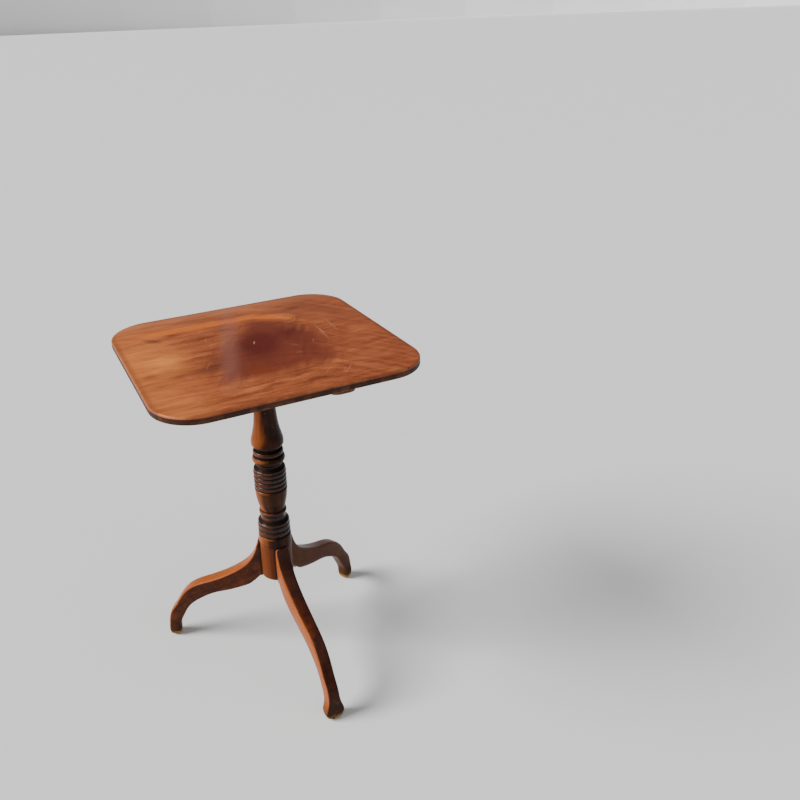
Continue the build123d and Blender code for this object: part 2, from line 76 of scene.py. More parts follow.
class Field:
    """A number that varies over a surface. Arithmetic on it adds Math nodes."""

    def __init__(self, finish, socket):
        self.finish = finish
        self.socket = socket

    def __add__(self, other):
        return self.finish.math("ADD", self, other)

    def __radd__(self, other):
        return self.finish.math("ADD", other, self)

    def __sub__(self, other):
        return self.finish.math("SUBTRACT", self, other)

    def __rsub__(self, other):
        return self.finish.math("SUBTRACT", other, self)

    def __mul__(self, other):
        return self.finish.math("MULTIPLY", self, other)

    def __rmul__(self, other):
        return self.finish.math("MULTIPLY", other, self)

    def __truediv__(self, other):
        return self.finish.math("DIVIDE", self, other)

    def __rtruediv__(self, other):
        return self.finish.math("DIVIDE", other, self)

    def __pow__(self, other):
        return self.finish.math("POWER", self, other)

    def __abs__(self):
        return self.finish.math("ABSOLUTE", self)

    def most(self, other):
        return self.finish.math("MAXIMUM", self, other)

    def least(self, other):
        return self.finish.math("MINIMUM", self, other)

    def step(self, low, high):
        """0 below low, 1 above high, smooth between; high may be the smaller one."""
        made = self.finish.node(
            "ShaderNodeMapRange",
            {"interpolation_type": "SMOOTHSTEP"},
            {"Value": self, "From Min": low, "From Max": high},
        )
        return Field(self.finish, made.outputs["Result"])


class Finish:
    """One material, built around a Principled shader."""

    def __init__(self, name):
        self.material = bpy.data.materials.new(name)
        self.material.use_nodes = True
        self.tree = self.material.node_tree
        self.shader = self.tree.nodes["Principled BSDF"]

    def node(self, kind, settings=None, inputs=None):
        """Adds a node: its settings first, then the values or links of its sockets."""
        made = self.tree.nodes.new(kind)
        for key, value in (settings or {}).items():
            if key == "stops":
                self.set_stops(made.color_ramp, value)
            else:
                setattr(made, key, value)
        for key, value in (inputs or {}).items():
            self.feed(made.inputs[key], value)
        return made

    def feed(self, socket, value):
        if isinstance(value, Field):
            self.tree.links.new(value.socket, socket)
        elif isinstance(value, bpy.types.NodeSocket):
            self.tree.links.new(value, socket)
        else:
            socket.default_value = value

    @staticmethod
    def set_stops(ramp, stops):
        while len(ramp.elements) < len(stops):
            ramp.elements.new(0.5)
        for element, (position, colour) in zip(ramp.elements, stops):
            element.position = position
            element.color = (*colour, 1.0)

    def math(self, operation, *values):
        made = self.node("ShaderNodeMath", {"operation": operation}, dict(enumerate(values)))
        return Field(self, made.outputs[0])

    def vector(self, operation, *values):
        """A Vector Math node's vector result."""
        made = self.node("ShaderNodeVectorMath", {"operation": operation}, dict(enumerate(values)))
        return made.outputs["Vector"]

    def measure(self, operation, *values):
        """A Vector Math node's number: a length, distance or dot product."""
        made = self.node("ShaderNodeVectorMath", {"operation": operation}, dict(enumerate(values)))
        return Field(self, made.outputs["Value"])

    def place(self, origin=(0, 0, 0), turn=0.0, tip=0.0):
        """Object coordinates in millimetres from an origin, turned about Z and then tipped about Y."""
        coordinates = self.node("ShaderNodeTexCoord").outputs["Object"]
        from_origin = self.vector("SUBTRACT", coordinates, tuple(origin))
        scaled = self.vector("MULTIPLY", from_origin, (1000, 1000, 1000))
        if not turn and not tip:
            return scaled
        turned = self.node("ShaderNodeMapping", None, {"Vector": scaled, "Rotation": (0, 0, -turn)})
        tipped = self.node(
            "ShaderNodeMapping", None, {"Vector": turned.outputs[0], "Rotation": (0, tip, 0)}
        )
        return tipped.outputs[0]

    def parts(self, vector):
        made = self.node("ShaderNodeSeparateXYZ", None, {0: vector})
        return [Field(self, socket) for socket in made.outputs]

    def join(self, x, y, z):
        return self.node("ShaderNodeCombineXYZ", None, {0: x, 1: y, 2: z}).outputs[0]

    def stretch(self, vector, x, y, z, shift=0.0):
        """Scales a place, so that a noise read there is drawn out along an axis."""
        made = self.node(
            "ShaderNodeMapping", None, {"Vector": vector, "Scale": (x, y, z), "Location": (shift,) * 3}
        )
        return made.outputs[0]

    def noise(self, vector, scale=1.0, detail=3.0, roughness=0.5, distortion=0.0):
        made = self.node(
            "ShaderNodeTexNoise",
            None,
            {
                "Vector": vector, "Scale": scale, "Detail": detail,
                "Roughness": roughness, "Distortion": distortion,
            },
        )
        return Field(self, made.outputs["Fac"])

    def drift(self, vector, scale, amount, detail=2.0):
        """Moves a place about by a noise, so that patterns read there wander."""
        colour = self.node(
            "ShaderNodeTexNoise", None, {"Vector": vector, "Scale": scale, "Detail": detail}
        ).outputs["Color"]
        centred = self.vector("SUBTRACT", colour, (0.5, 0.5, 0.5))
        return self.vector("ADD", vector, self.vector("MULTIPLY", centred, (amount, amount, amount)))

    def ramp(self, field, *stops):
        made = self.node("ShaderNodeValToRGB", {"stops": stops}, {"Fac": field})
        return made.outputs["Color"]

    def mix(self, factor, low, high, blend="MIX"):
        made = self.node("ShaderNodeMix", {"data_type": "RGBA", "blend_type": blend, "clamp_factor": True})
        self.feed(made.inputs[0], factor)
        for socket, colour in ((made.inputs[6], low), (made.inputs[7], high)):
            self.feed(socket, (*colour, 1.0) if isinstance(colour, tuple) else colour)
        return made.outputs[2]

    def shape_value(self, name):
        """A number that the piece's mesh carries, such as how sharply it curves."""
        made = self.node("ShaderNodeAttribute", {"attribute_name": name})
        return Field(self, made.outputs["Fac"])

    def facing(self, direction):
        """How squarely the surface faces a direction: 1 straight towards it, 0 edge on."""
        normal = self.node("ShaderNodeNewGeometry").outputs["Normal"]
        return self.measure("DOT_PRODUCT", normal, tuple(Vector(direction).normalized()))

    def blot(self, vector, centre, size, turn=0.0, soft=1.0):
        """1 at the middle of a soft oval and 0 outside it."""
        moved = self.vector("SUBTRACT", vector, (*centre, 0.0))
        rotation = (0, 0, -math.radians(turn))
        turned = self.node("ShaderNodeMapping", None, {"Vector": moved, "Rotation": rotation})
        flat = self.vector("MULTIPLY", turned.outputs[0], (1 / size[0], 1 / size[1], 0))
        return self.measure("LENGTH", flat).step(1.0, 1.0 - soft)

    def scratch(self, vector, start, end, width):
        """1 along a thin straight scratch that fades towards its ends."""
        a = (*start, 0.0)
        run = (end[0] - start[0], end[1] - start[1], 0.0)
        squared = run[0] ** 2 + run[1] ** 2
        flat = self.vector("MULTIPLY", vector, (1, 1, 0))
        offset = self.vector("SUBTRACT", flat, a)
        along = self.measure("DOT_PRODUCT", offset, tuple(c / squared for c in run))
        square_run = (-run[1] / math.sqrt(squared), run[0] / math.sqrt(squared), 0.0)
        aside = abs(self.measure("DOT_PRODUCT", offset, square_run))
        within = along.step(0.0, 0.25) * along.step(1.0, 0.7)
        return aside.step(width, width * 0.25) * within

    def bump(self, height, distance, strength=1.0, under=None):
        inputs = {"Height": height, "Distance": distance * MM, "Strength": strength}
        if under is not None:
            inputs["Normal"] = under
        return self.node("ShaderNodeBump", None, inputs).outputs["Normal"]

    def shade(self, colour=None, roughness=None, normal=None, coat=None, **constants):
        for name, value in (
            ("Base Color", colour), ("Roughness", roughness), ("Normal", normal), ("Coat Weight", coat),
        ):
            if value is not None:
                self.feed(self.shader.inputs[name], value)
        for name, value in constants.items():
            self.shader.inputs[name.replace("_", " ").title().replace("Ior", "IOR")].default_value = value
        return self.material


# ---------------------------------------------------------------- wood


# scratches in the polish: start and end from the middle of the top, and width, in millimetres
SCRATCHES = (
    ((162, 68), (158, -12), 0.8), ((131, 36), (125, -42), 0.9), ((128, 42), (133, -6), 0.5),
    ((112, -160), (80, -197), 0.8), ((98, -166), (84, -188), 0.6), ((76, -152), (52, -180), 0.4),
    ((-2, 22), (-8, 6), 2.0), ((86, 126), (96, 92), 0.6), ((66, -40), (50, -24), 0.6),
    ((100, -20), (92, -38), 0.7), ((-184, 6), (-181, -8), 1.6), ((-198, -20), (-204, -32), 1.0),
    ((-80, 82), (-83, 60), 0.5), ((-102, -30), (-122, -66), 0.5), ((150, -60), (178, -52), 0.4),
    ((112, 68), (92, 40), 0.5), ((-160, -70), (-150, -84), 0.5), ((44, -66), (60, -70), 0.8),
)

# dark wisps in the figure: middle, half size in millimetres, turn in degrees, softness and strength
WISPS = (
    ((-136, 124), (22, 8), -20, 0.9, 1), ((126, 152), (52, 24), 12, 1.0, 1),
    ((112, 92), (40, 18), 40, 1.0, 1), ((-120, -62), (70, 26), 12, 1.0, 0.8),
    ((-216, -44), (28, 14), 0, 1.0, 0.8),
)


def board_finish():
    """The top: one figured mahogany board, polished, faded and marked by use."""
    f = Finish("top_mahogany")
    spot = f.place(TOP_MIDDLE)
    x, y, z = f.parts(spot)
    adrift = f.drift(spot, 0.009, 34)
    adrift = f.drift(adrift, 0.045, 7)
    wx, wy, _ = f.parts(adrift)

    # growth rings: long soft bands along X that rise into an arch right of the middle
    rise = (wx - 30).most(0) ** 1.5 * 0.072
    level = wy + rise
    bands = f.noise(f.join(x * 0.004, level * 0.040, z * 0.02), 1.0, 4, 0.55, 0.2)
    fine = f.noise(f.join(x * 0.013, level * 0.24, z * 0.1), 1.0, 4, 0.6, 0.1)
    hair = f.noise(f.join(x * 0.022, wy * 1.1, z), 1.0, 3, 0.6)
    cloud = f.noise(f.join(wx * 0.014, wy * 0.018, z * 0.01), 1.0, 5, 0.6)
    fleck = f.noise(f.join(x * 0.16, y * 0.34, z * 0.2), 1.0, 3, 0.6)
    silk = f.noise(f.join(x * 0.013, wy * 0.085, z * 0.2), 1.0, 4, 0.55, 0.6)
    tone = bands * 0.40 + fine * 0.22 + hair * 0.12 + cloud * 0.26
    tone = tone + (fleck - 0.5) * 0.16 + (silk - 0.5) * 0.34
    tone = (tone - 0.5) * 1.15 + 0.5
    colour = f.ramp(
        tone,
        (0.37, (0.140, 0.028, 0.007)),
        (0.46, (0.270, 0.063, 0.018)),
        (0.54, (0.370, 0.094, 0.029)),
        (0.64, (0.500, 0.150, 0.048)),
    )

    # the bright arch near the back, and the left side paler and more orange
    arch_line = (abs(level - 144)).step(26, 0) * (wx + 220).step(0, 60) * (wx - 150).step(0, -60)
    arch_line = arch_line * (0.30 + 0.9 * fine + 0.5 * (cloud - 0.5))
    colour = f.mix(arch_line, colour, (0.72, 0.165, 0.022))
    paler_left = (x + 10).step(-70, -250) * (0.25 + 0.6 * cloud)
    colour = f.mix(paler_left * (0.4 + 1.1 * silk), colour, (0.68, 0.195, 0.046))
    golden = f.blot(adrift, (-190, 20), (84, 104), 0, 1.0) * (cloud * 1.2 + silk - 0.45)
    colour = f.mix(golden * 0.85, colour, (0.82, 0.270, 0.055))
    colour = f.mix(y.step(168, 216) * (0.35 + 0.5 * fine), colour, (0.56, 0.190, 0.080))
    shaded = (level - 164).step(0, 22) * (x - 30).step(0, 90) * (x - 240).step(0, -60)
    colour = f.mix(shaded * (0.12 + 0.40 * bands), colour, (0.220, 0.064, 0.028))
    colour = f.mix((x - 60).step(0, 150) * 0.40 * (0.4 + bands), colour, (0.270, 0.060, 0.018))
    dark_band = f.blot(adrift, (-60, 184), (160, 17), 0, 1.0)
    colour = f.mix(dark_band * (0.25 + 0.5 * fine), colour, (0.205, 0.058, 0.018))

    # the dark flame in the middle, burgundy where the polish has kept its colour
    ray_along = wx * 0.47 + wy * 0.88
    ray_across = wy * 0.47 - wx * 0.88
    rays = f.noise(f.join(ray_along * 0.009, ray_across * 0.085, 0.0), 1.0, 4, 0.6)
    half = ((150 - wy) * 0.66 + 10).most(0).least(112)
    lean = (90 - wy).most(0) * 0.20
    flame = (abs(wx - 38 + lean) - half - (rays - 0.5) * 80).step(34, -46)
    flame = flame * (wy + (rays - 0.5) * 90).step(-158, -92) * (level - 128).step(20, -30)
    flame_colour = f.mix((fine + rays - 0.55), (0.090, 0.008, 0.003), (0.215, 0.042, 0.015))
    flame = flame * (0.55 + 0.50 * cloud + 0.45 * silk)
    colour = f.mix(flame.least(1) * 0.94, colour, flame_colour)
    core = f.blot(adrift, (2, 4), (70, 112), -16, 1.0)
    core = core.most(f.blot(adrift, (66, 30), (76, 66), 30, 1.0) * 0.62)
    core = (core + (rays - 0.5) * 0.9 + (silk - 0.5) * 0.5).step(0.05, 0.85) * flame.least(1)
    colour = f.mix(core * 0.85, colour, (0.088, 0.0050, 0.0015))
    colour = f.mix(f.blot(adrift, (-34, -104), (34, 34), 20, 1.0) * 0.85, colour, (0.180, 0.030, 0.003))
    wisps = f.blot(adrift, (-172, 116), (30, 12), -42, 0.9)
    for middle, half_size, turn, softness, strength in WISPS:
        wisps = wisps.most(f.blot(adrift, middle, half_size, turn, softness) * strength)
    colour = f.mix(wisps * (0.3 + 0.7 * fine), colour, (0.130, 0.030, 0.012))

    # pores: short dark dashes along the grain
    pores = f.noise(f.join(x * 0.09, wy * 2.2, z * 2.2), 1.0, 2, 0.5).step(0.60, 0.70)
    colour = f.mix(pores * 0.22, colour, (0.060, 0.014, 0.006))

    # a painted reflection as a pale streak across the polish, and the ring left by a glass
    reflection_line = abs(x + 15 - (y - 145) * 0.295)
    painted_reflection = reflection_line.step(30, 2) * y.step(-190, -60) * y.step(290, 120) * (0.45 + 0.6 * cloud)
    colour = f.mix(painted_reflection * 0.42, colour, (0.300, 0.135, 0.105))
    ring_place = f.vector("SUBTRACT", spot, (97, 106, 0))
    ring_radius = f.measure("LENGTH", f.vector("MULTIPLY", ring_place, (1.35, 1, 0)))
    ring = (abs(ring_radius - 21)).step(1.8, 0.3) * f.noise(spot, 0.035, 2).step(0.42, 0.56)
    marks = ring * 0.8
    for start, end, width in SCRATCHES:
        marks = marks.most(f.scratch(spot, start, end, width))
    scuffs = f.noise(f.join(x * 0.4, y * 0.06, z), 1.0, 2, 0.4).step(0.735, 0.76)
    marks = marks.most(scuffs * 0.4)
    specks = f.noise(spot, 0.55, 1, 0.4)
    marks = marks.most(specks.step(0.80, 0.83) * 0.6)
    colour = f.mix(marks * 0.50, colour, (0.70, 0.35, 0.19))
    colour = f.mix(specks.step(0.205, 0.185) * 0.75, colour, (0.035, 0.012, 0.007))

    # old polish gathers along the edge, the rim's side is painted near black as painted shade, and the
    # arris is rubbed pale
    curved = f.shape_value("curve")
    edge_in = (abs(x) - 234).most(abs(y) - 220)
    colour = f.mix(edge_in.step(-6, 4) * 0.45, colour, (0.150, 0.036, 0.012))
    side = (z + 3.4).step(1.0, -1.2)
    side_grain = f.noise(f.join(x * 0.02, y * 0.02, z * 0.9), 1.0, 4, 0.6)
    rim_shade_colour = f.mix(side_grain, (0.007, 0.003, 0.002), (0.036, 0.012, 0.006))
    colour = f.mix(side * 0.95, colour, rim_shade_colour)
    rubbed = curved.step(0.05, 0.16) * f.noise(spot, 0.06, 3).step(0.42, 0.66)
    colour = f.mix(rubbed * 0.30, colour, (0.42, 0.150, 0.060))

    # the underneath was never polished
    below = (z + 13).step(0.2, -0.6)
    dusty = f.mix(bands * 0.6 + fine * 0.4, (0.115, 0.048, 0.022), (0.250, 0.125, 0.065))
    colour = f.mix(below * 0.9, colour, dusty)

    relief = hair * 0.35 + pores * -0.9 + marks * -0.6
    normal = f.bump(relief, 0.04, 0.5)
    normal = f.bump(f.noise(spot, 0.018, 2), 0.6, 0.3, normal)
    roughness = 0.36 + 0.16 * cloud + 0.10 * painted_reflection + 0.22 * marks + 0.10 * pores + 0.3 * below + 0.15 * side
    coat = (0.10 + 0.08 * cloud) * (1 - marks.least(1)) * (1 - below) * (1 - side)
    return f.shade(colour, roughness, normal, coat, coat_roughness=0.2, specular_ior_level=0.2)


def heading_of(node):
    """The way from the pillar's axis to the middle of a piece's box."""
    low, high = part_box(node)
    return math.atan2((low.y + high.y) / 2 - AXIS.y, (low.x + high.x) / 2 - AXIS.x)


# the reeded stretches: where each begins and is full, where it ends and is last full, and its strength
REEDED = ((290, 294, 352, 345, 1), (401, 405, 463, 457, 1), (474, 479, 506, 499, 0.8))


def turning_finish():
    """The pillar: redder wood, grain upright, with old wax and painted shade black in the quirks, and
    painted light on the side that faces the key light.
    """
    f = Finish("turned_mahogany")
    spot = f.place(AXIS)
    x, _, z = f.parts(spot)
    adrift = f.drift(spot, 0.02, 14)
    bands = f.noise(f.stretch(adrift, 0.085, 0.085, 0.007), 1.0, 4, 0.55, 0.4)
    fine = f.noise(f.stretch(adrift, 0.42, 0.42, 0.012), 1.0, 4, 0.6)
    pores = f.noise(f.stretch(spot, 1.9, 1.9, 0.07), 1.0, 2, 0.5).step(0.60, 0.70)
    colour = f.ramp(
        bands * 0.62 + fine * 0.38,
        (0.34, (0.008, 0.0022, 0.001)),
        (0.48, (0.021, 0.0050, 0.0015)),
        (0.60, (0.044, 0.0100, 0.0025)),
        (0.74, (0.086, 0.0230, 0.006)),
    )
    colour = f.mix(pores * 0.5, colour, (0.022, 0.007, 0.004))

    # painted light: the side that faces the key light is painted lighter and more orange, and the base
    # between the legs is the warmest wood
    painted_light = (f.facing(KEY_LIGHT_SIDE) + (bands - 0.5) * 0.5).step(0.22, 0.80)
    colour = f.mix(painted_light * 0.85, colour, f.mix(fine, (0.250, 0.052, 0.008), (0.470, 0.125, 0.028)))
    base = z.step(BASE_TOP, BASE_TOP - 10)
    colour = f.mix(base * (0.40 + 0.5 * fine), colour, (0.115, 0.024, 0.003))
    colour = f.mix(base * x.step(-2, 22) * 0.6, colour, (0.055, 0.013, 0.003))
    barrel = z.step(366, 372) * z.step(405, 399)
    colour = f.mix(barrel * (0.15 + 0.40 * fine), colour, (0.070, 0.022, 0.003))

    # black lines under the band and down both sides of each leg
    seam = abs(z - BASE_TOP).step(1.5, 0.3) * 0.85
    for node in LEG_NODES:
        out, aside, _ = f.parts(f.place(AXIS, turn=heading_of(node)))
        beside = (abs(aside) - LEG_HALF_WIDTH).step(3.4, 0.2) * out.step(0, 12)
        seam = seam.most(beside * z.step(BASE_TOP, BASE_TOP - 4) * 0.9)
    colour = f.mix(seam, colour, (0.008, 0.004, 0.003))

    # the reeded stretches were polished darker than the plain ones
    dark = 0
    for begins, full, ends, still_full, strength in REEDED:
        stretch = z.step(begins, full) * z.step(ends, still_full) * strength
        dark = stretch.most(dark)
    colour = f.mix(dark * 0.75, colour, (0.012, 0.0045, 0.0035))
    curved = f.shape_value("curve")
    depth = f.shape_value("depth")
    # old wax, and painted shade, black in the grooves and quirks
    wax_and_shade = (0 - curved).step(0.02, 0.18).most(depth.step(0.20, 1.1))
    colour = f.mix(wax_and_shade * 0.93, colour, (0.007, 0.004, 0.003))
    patchy = f.noise(f.stretch(spot, 0.05, 0.05, 0.09), 1.0, 3, 0.6)
    rubbed = curved.step(0.035, 0.17) * patchy.step(0.42, 0.68)
    colour = f.mix(rubbed * 0.40, colour, (0.170, 0.058, 0.030))
    dull = f.noise(f.stretch(spot, 0.06, 0.06, 0.03, 7), 1.0, 4, 0.65)
    colour = f.mix(dull.step(0.60, 0.78) * 0.22, colour, (0.120, 0.055, 0.030))
    knocks = f.noise(f.stretch(spot, 0.22, 0.22, 0.30, 3), 1.0, 2, 0.4).step(0.735, 0.77)
    colour = f.mix(knocks * 0.4, colour, (0.25, 0.11, 0.06))

    relief = fine * 0.3 + pores * -0.6 + knocks * -0.8
    normal = f.bump(relief, 0.04, 0.5)
    normal = f.bump(f.noise(f.stretch(spot, 0.03, 0.03, 0.05), 1.0, 2), 0.5, 0.3, normal)
    roughness = 0.24 + 0.18 * dull + 0.30 * wax_and_shade + 0.15 * knocks
    coat = 0.07 + 0.30 * dark * (1 - wax_and_shade) - 0.05 * wax_and_shade
    return f.shade(colour, roughness, normal, coat, coat_roughness=0.12, specular_ior_level=0.07)


def leg_finish(name, heading, number):
    """A leg: straight-grained mahogany running down the leg, worn on the arrises and the toe, with a
    painted highlight along the arrises, painted light on the faces towards the key light and painted shade
    in its inner corners.
    """
    f = Finish(f"{name}_mahogany")
    plain = f.place(AXIS)
    height = f.parts(plain)[2]
    spot = f.place(AXIS, turn=heading, tip=math.radians(-32))
    adrift = f.drift(spot, 0.016, 18)
    shift = 13.0 * number
    bands = f.noise(f.stretch(adrift, 0.008, 0.07, 0.07, shift), 1.0, 4, 0.55, 0.5)
    fine = f.noise(f.stretch(adrift, 0.016, 0.45, 0.45, shift), 1.0, 4, 0.6)
    mottle = f.noise(f.stretch(adrift, 0.055, 0.04, 0.05, shift), 1.0, 4, 0.6)
    pores = f.noise(f.stretch(spot, 0.08, 2.0, 2.0, shift), 1.0, 2, 0.5).step(0.60, 0.69)
    colour = f.ramp(
        bands * 0.42 + fine * 0.33 + mottle * 0.25,
        (0.36, (0.028, 0.006, 0.0025)),
        (0.48, (0.060, 0.0135, 0.0040)),
        (0.58, (0.096, 0.024, 0.006)),
        (0.72, (0.155, 0.046, 0.013)),
    )
    colour = f.mix(pores * 0.55, colour, (0.028, 0.009, 0.005))

    # painted light: the faces that turn towards the key light are painted lighter and more orange
    painted_light = (f.facing(KEY_LIGHT_SIDE) + (bands - 0.5) * 0.2).step(0.38, 0.74)
    colour = f.mix(painted_light * 0.85, colour, f.mix(fine, (0.250, 0.050, 0.008), (0.520, 0.140, 0.030)))

    # the right leg (2) is the warmest, and the front leg (0) the most purple: its faces away from the key
    # light are painted darker, as painted shade
    if number == 2:
        colour = f.mix(0.35 + 0.4 * fine, colour, (0.085, 0.024, 0.005))
    if number == 0:
        colour = f.mix((1 - painted_light) * 0.55, colour, (0.032, 0.0095, 0.0085))

    # old polish lies in darker clouds, and the foot is darker towards the bottom, scuffed, chipped and
    # rubbed
    clouds = mottle.step(0.56, 0.38) * (0.30 if number else 0.70)
    colour = f.mix(clouds * (1 - painted_light), colour, (0.026, 0.009, 0.009))
    foot = height.step(56, 10)
    foot_mottle = f.noise(f.stretch(plain, 0.09, 0.09, 0.13, shift), 1.0, 5, 0.7)
    colour = f.mix(foot * (0.5 + 0.5 * foot_mottle.step(0.36, 0.60)) * 0.85, colour, (0.038, 0.018, 0.009))
    colour = f.mix(foot * foot_mottle.step(0.57, 0.70) * 0.50, colour, (0.30, 0.17, 0.06))
    curved = f.shape_value("curve")
    chipped = f.noise(f.stretch(plain, 0.16, 0.16, 0.16, shift), 1.0, 4, 0.65)
    # the arrises are painted pale: wear, and a painted highlight along them
    rubbed = curved.step(0.11, 0.22) * chipped.step(0.40, 0.60)
    colour = f.mix(rubbed * 0.50, colour, (0.420, 0.170, 0.100))
    toe = height.step(17, 7) * chipped.step(0.38, 0.54)
    colour = f.mix(toe * 0.80, colour, (0.40, 0.21, 0.045))
    colour = f.mix(height.step(2.4, 0.6) * 0.9, colour, (0.022, 0.013, 0.008))

    # black where the leg meets the pillar, and painted shade in its inner corners
    left_right, near_far, _ = f.parts(plain)
    reach = f.measure("LENGTH", f.join(left_right, near_far, 0))
    colour = f.mix(reach.step(38.5, 35.5) * 0.85, colour, (0.010, 0.005, 0.004))
    shoulder = (0 - curved).step(0.03, 0.2)
    colour = f.mix(shoulder * 0.8, colour, (0.015, 0.008, 0.006))

    relief = fine * 0.35 + pores * -0.8 + foot * foot_mottle * -1.6
    normal = f.bump(relief, 0.07, 0.6)
    normal = f.bump(f.noise(plain, 0.03, 2), 0.7, 0.3, normal)
    roughness = 0.26 + 0.18 * mottle + 0.26 * foot + 0.1 * rubbed
    coat = 0.08 - 0.07 * foot
    return f.shade(colour, roughness, normal, coat, coat_roughness=0.12, specular_ior_level=0.07)


def underside_finish(name, along, dark, light, number):
    """Unpolished wood under the top: along is the axis that the grain follows."""
    f = Finish(name)
    spot = f.place(AXIS)
    long_way = tuple(0.009 if axis == along else 0.11 for axis in "xyz")
    short_way = tuple(0.02 if axis == along else 0.6 for axis in "xyz")
    pore_way = tuple(0.09 if axis == along else 2.1 for axis in "xyz")
    adrift = f.drift(spot, 0.015, 16)
    bands = f.noise(f.stretch(adrift, *long_way, number), 1.0, 4, 0.55, 0.3)
    fine = f.noise(f.stretch(adrift, *short_way, number), 1.0, 4, 0.6)
    pores = f.noise(f.stretch(spot, *pore_way, number), 1.0, 2, 0.5).step(0.58, 0.68)
    middle = tuple((a + b) / 2 for a, b in zip(dark, light))
    colour = f.ramp(bands * 0.55 + fine * 0.45, (0.36, dark), (0.52, middle), (0.70, light))
    colour = f.mix(pores * 0.5, colour, tuple(c * 0.35 for c in dark))
    stain = f.noise(spot, 0.02, 4, 0.6)
    colour = f.mix(stain.step(0.52, 0.70) * 0.45, colour, tuple(c * 0.5 for c in dark))
    curved = f.shape_value("curve")
    worn = curved.step(0.1, 0.4) * stain.step(0.4, 0.55)
    colour = f.mix(worn * 0.5, colour, tuple(c * 1.3 for c in light))
    normal = f.bump(fine * 0.6 - pores, 0.10, 0.7)
    return f.shade(colour, 0.55 + 0.25 * stain, normal, specular_ior_level=0.32)


# ---------------------------------------------------------------- metal


def brass_finish():
    """Lacquered brass gone brown in the corners and bright where it is handled."""
    f = Finish("aged_brass")
    spot = f.place(AXIS)
    cloud = f.noise(spot, 0.09, 4, 0.6)
    brushed = f.noise(f.stretch(spot, 0.9, 0.05, 0.9), 1.0, 3, 0.5)
    colour = f.ramp(
        cloud, (0.34, (0.140, 0.078, 0.028)), (0.50, (0.360, 0.225, 0.080)), (0.66, (0.620, 0.430, 0.175))
    )
    curved = f.shape_value("curve")
    colour = f.mix(curved.step(0.10, 0.5) * 0.7, colour, (0.80, 0.60, 0.28))
    colour = f.mix((0 - curved).step(0.05, 0.3) * 0.8, colour, (0.06, 0.040, 0.022))
    spots = f.noise(spot, 0.5, 2, 0.5).step(0.70, 0.78)
    colour = f.mix(spots * 0.7, colour, (0.075, 0.050, 0.026))
    normal = f.bump(brushed * 0.5 + spots * -0.6, 0.02, 0.5)
    return f.shade(colour, 0.26 + 0.30 * cloud + 0.2 * spots, normal, metallic=1.0)


def iron_finish():
    """Blackened iron with rust coming through."""
    f = Finish("black_iron")
    spot = f.place(AXIS)
    rust = f.noise(spot, 0.11, 5, 0.7)
    grit = f.noise(spot, 0.9, 3, 0.6)
    colour = f.mix(rust.step(0.48, 0.66), (0.022, 0.020, 0.019), (0.130, 0.048, 0.020))
    curved = f.shape_value("curve")
    colour = f.mix(curved.step(0.12, 0.5) * 0.6, colour, (0.20, 0.17, 0.15))
    normal = f.bump(grit * 0.6 + rust * 0.6, 0.10, 0.8)
    metal = 0.85 - 0.7 * rust.step(0.48, 0.66)
    material = f.shade(colour, 0.45 + 0.35 * rust, normal)
    f.feed(f.shader.inputs["Metallic"], metal)
    return material


def steel_finish():
    """Wood screws and spring: dull steel, browned in patches."""
    f = Finish("dull_steel")
    spot = f.place(AXIS)
    cloud = f.noise(spot, 0.35, 4, 0.6)
    turned = f.noise(f.stretch(spot, 1.4, 1.4, 0.2), 1.0, 3, 0.5)
    colour = f.mix(cloud.step(0.42, 0.62), (0.34, 0.32, 0.29), (0.13, 0.085, 0.055))
    normal = f.bump(turned * 0.5 + cloud * 0.5, 0.02, 0.6)
    return f.shade(colour, 0.32 + 0.35 * cloud, normal, metallic=0.9)


# ---------------------------------------------------------------- modelling


def nothing_selected():
    if bpy.context.mode != "OBJECT":
        bpy.ops.object.mode_set(mode="OBJECT")
    bpy.ops.object.select_all(action="DESELECT")


def open_piece(piece):
    """Opens a piece in edit mode and gives its mesh."""
    nothing_selected()
    piece.select_set(True)
    bpy.context.view_layer.objects.active = piece
    bpy.ops.object.mode_set(mode="EDIT")
    return bmesh.from_edit_mesh(piece.data)


def pick(mesh, kind, test):
    """Selects the faces, edges or vertices that pass a test, and nothing else."""
    bpy.ops.mesh.select_mode(type={"faces": "FACE", "edges": "EDGE", "verts": "VERT"}[kind])
    bpy.ops.mesh.select_all(action="DESELECT")
    for item in getattr(mesh, kind):
        if test(item):
            item.select_set(True)
    mesh.select_flush_mode()


def close_piece(piece, name, smooth_angle=35):
    """Leaves edit mode with the piece's place in its mesh."""
    nothing_selected()
    piece.select_set(True)
    bpy.context.view_layer.objects.active = piece
    bpy.ops.object.transform_apply(location=True, rotation=True, scale=True)
    bpy.ops.object.shade_smooth_by_angle(angle=math.radians(smooth_angle))
    piece.name = name
    piece.data.name = name
    return piece


def apply_modifier(piece, kind, **settings):
    nothing_selected()
    piece.select_set(True)
    bpy.context.view_layer.objects.active = piece
    modifier = piece.modifiers.new(kind.lower(), kind)
    for key, value in settings.items():
        setattr(modifier, key, value)
    bpy.ops.object.modifier_apply(modifier=modifier.name)


